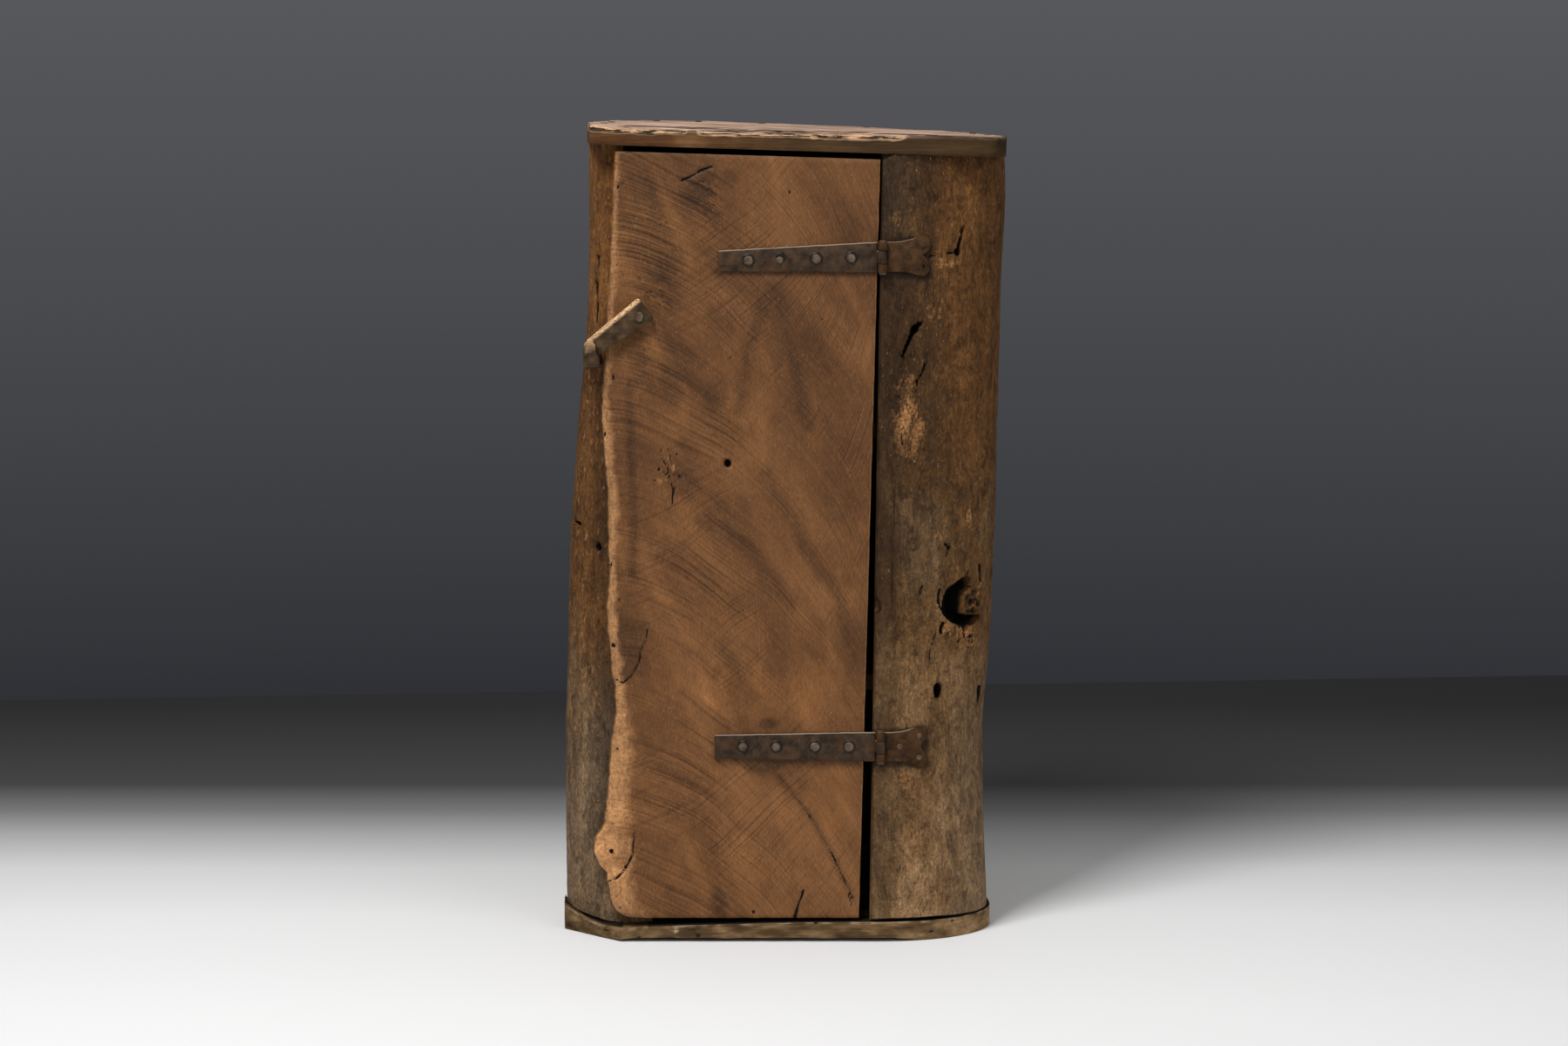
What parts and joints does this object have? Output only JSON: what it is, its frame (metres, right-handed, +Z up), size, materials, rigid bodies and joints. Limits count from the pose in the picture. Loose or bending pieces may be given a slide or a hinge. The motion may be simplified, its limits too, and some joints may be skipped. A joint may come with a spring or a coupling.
{
  "type": "trunk cabinet",
  "caption": "Free-standing cupboard hollowed from a tree trunk, with a live-edged plank door on iron strap hinges, a wooden turn button, plank lid and base, and shelves inside.",
  "frame": {"origin": "on the floor under the middle of the cabinet's bounding box", "axes": "+Z up, the door faces -Y, +X to the right of someone who faces the door"},
  "size_m": [0.5216, 0.3794, 0.957],
  "materials": {
    "trunk_wood": "weathered, split and worm-eaten",
    "door_wood": "old sawn plank, warm brown",
    "top_wood": "pale, weathered and broken at the front edge",
    "base_wood": "dark weathered board",
    "shelf_wood": "rough sawn",
    "peg_wood": "whittled",
    "button_wood": "grey weathered",
    "iron": "wrought, dull, rusty at the edges"
  },
  "bodies": {
    "carcass": {"base_board_back": "base_wood", "base_board_front": "base_wood", "base_board_nails": "iron", "keeper_nail": "iron", "latch_keeper": "button_wood", "lower_hinge_frame_leaf": "iron", "lower_hinge_pin": "iron", "lower_leaf_nails": "iron", "lower_shelf": "shelf_wood", "lower_shelf_pegs": "peg_wood", "top_board_back": "top_wood", "top_board_front": "top_wood", "top_board_nails": "iron", "trunk_shell": "trunk_wood", "upper_hinge_frame_leaf": "iron", "upper_hinge_pin": "iron", "upper_leaf_nails": "iron", "upper_shelf": "shelf_wood", "upper_shelf_pegs": "peg_wood"},
    "door": {"button_screw": "iron", "door_plank": "door_wood", "lower_hinge_strap": "iron", "lower_strap_rivets": "iron", "upper_hinge_strap": "iron", "upper_strap_rivets": "iron"},
    "latch": {"turn_button": "button_wood"}
  },
  "joints": [
    {"name": "door_swing", "type": "hinge", "parent": "carcass", "child": "door", "pos_m": [0.117, -0.1785, 0.5], "axis": [0, 0, 1], "range_deg": [0, 160]},
    {"name": "latch_turn", "type": "hinge", "parent": "door", "child": "latch", "pos_m": [-0.162, -0.1782, 0.7375], "axis": [0, 1, 0], "range_deg": [0, 130]}
  ]
}
